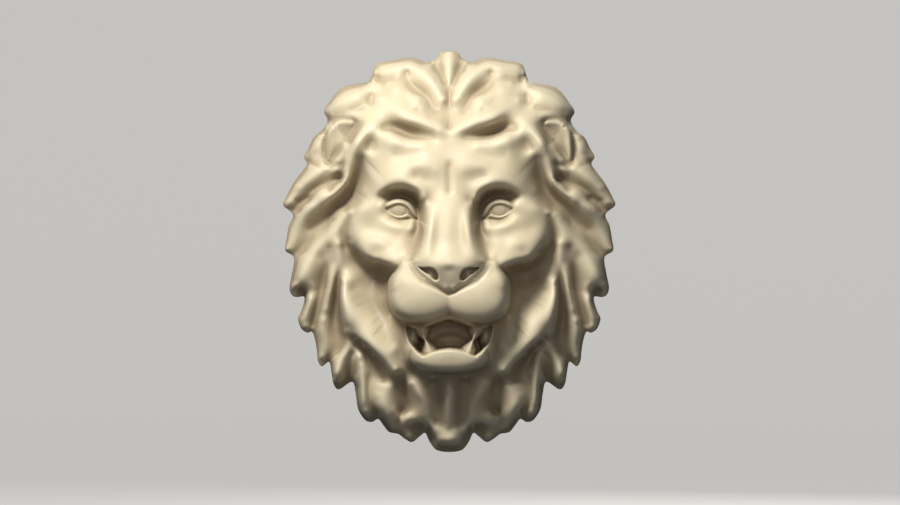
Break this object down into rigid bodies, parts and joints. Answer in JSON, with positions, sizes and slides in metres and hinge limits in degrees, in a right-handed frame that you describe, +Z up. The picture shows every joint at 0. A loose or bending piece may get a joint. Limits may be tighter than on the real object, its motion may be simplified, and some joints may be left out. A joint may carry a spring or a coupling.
{
  "type": "lion head relief plaque",
  "caption": "Lion's head in high relief with open mouth, ears and curling mane, cast in one body with a flat back for hanging on a wall.",
  "frame": {"origin": "middle of the flat back, on the wall plane", "axes": "+X to the right as seen from the front, +Z up, the face looks toward -Y"},
  "size_m": [0.248, 0.091, 0.3],
  "materials": {
    "cast_stone": "matt ivory cast plaster or resin"
  },
  "bodies": {
    "root": {"lion_relief": "cast_stone"}
  },
  "joints": []
}
